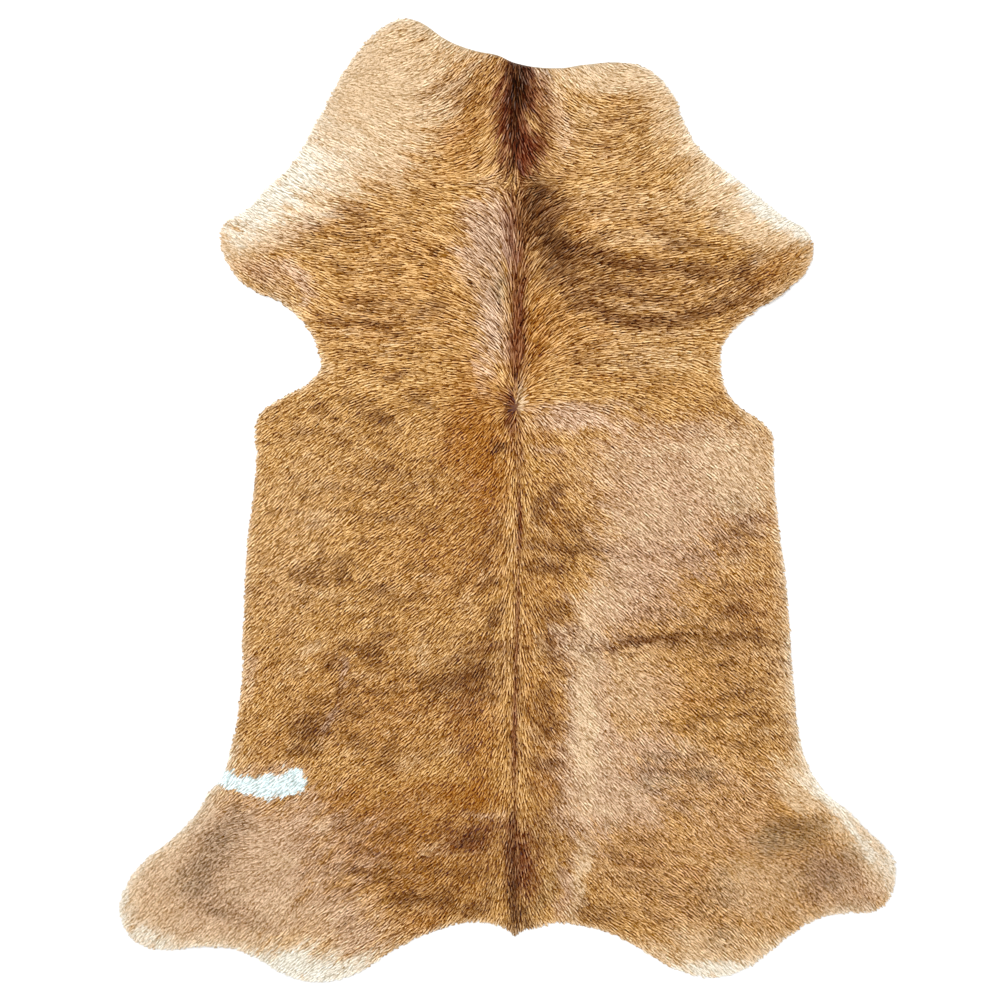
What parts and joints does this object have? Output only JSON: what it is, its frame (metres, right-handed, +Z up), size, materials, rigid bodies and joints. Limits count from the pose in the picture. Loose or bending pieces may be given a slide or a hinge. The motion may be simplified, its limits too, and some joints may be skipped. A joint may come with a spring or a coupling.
{
  "type": "hair-on cowhide rug, laid flat",
  "caption": "Whole hair-on cowhide with neck, legs and tail point in its trimmed outline, lying flat with the brindle hair side up.",
  "frame": {"origin": "middle of the hide's outline box, on the surface it lies on", "axes": "+Z up out of the hair side, +Y from the tail towards the neck, +X towards the right flank as seen from above"},
  "size_m": [1.6871, 2.0954, 0.0103],
  "materials": {
    "coat": "short glossy golden tan hair with dark brindle streaks, left on tanned leather"
  },
  "bodies": {
    "root": {"hide": "coat"}
  },
  "joints": []
}
